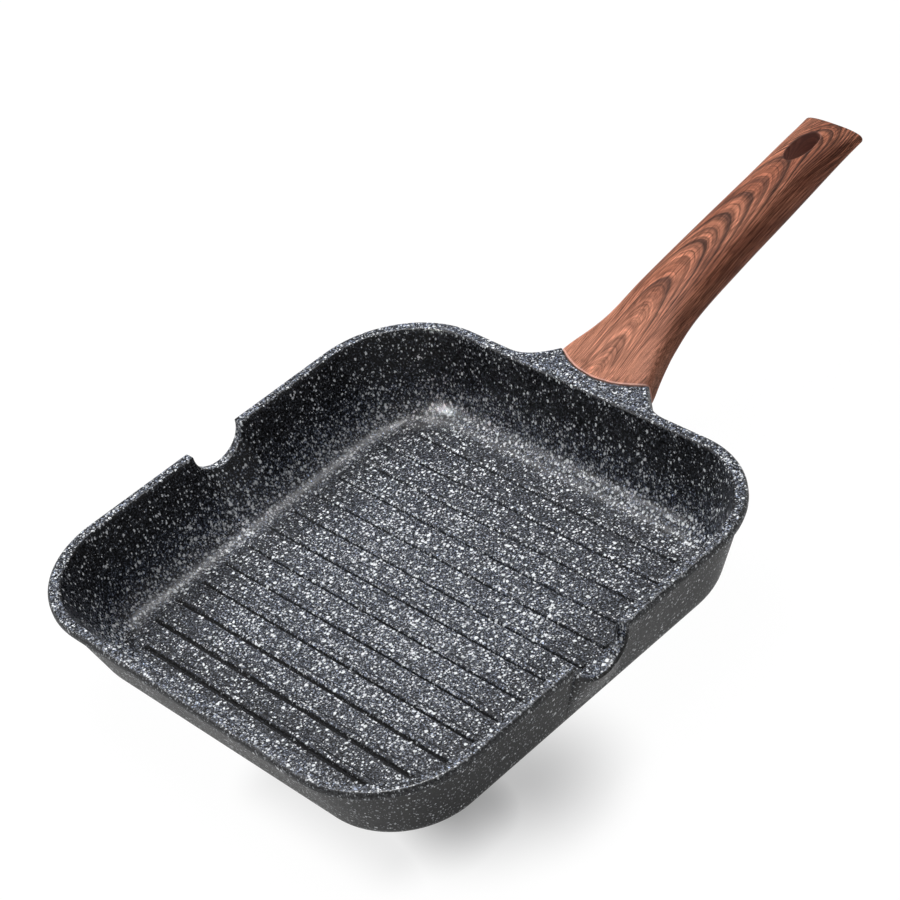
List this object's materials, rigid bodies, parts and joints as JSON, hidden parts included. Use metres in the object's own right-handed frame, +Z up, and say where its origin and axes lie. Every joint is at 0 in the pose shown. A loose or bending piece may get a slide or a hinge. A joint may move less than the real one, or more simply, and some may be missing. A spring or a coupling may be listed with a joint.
{
  "type": "grill pan",
  "caption": "Square cast grill pan with raised griddle ribs, a pouring lip in each side wall and a fixed wood-effect handle with an oval hanging hole.",
  "frame": {"origin": "centre of the pan's base, on the plane it rests on", "axes": "+Z up out of the pan, +Y from the pan along the handle to its tip, +X to the right side wall with its pouring lip"},
  "size_m": [0.24, 0.4192, 0.0776],
  "materials": {
    "speckled_coating": "cast aluminium under a charcoal non-stick coating with pale grey stone specks",
    "wood_effect_handle": "satin phenolic moulding with a red-brown wood-grain film",
    "zinc_steel": "bright zinc-plated steel"
  },
  "bodies": {
    "root": {"pan_body": "speckled_coating", "handle": "wood_effect_handle", "flat_washer": "zinc_steel", "spring_washer": "zinc_steel", "fixing_screw": "zinc_steel"}
  },
  "joints": []
}
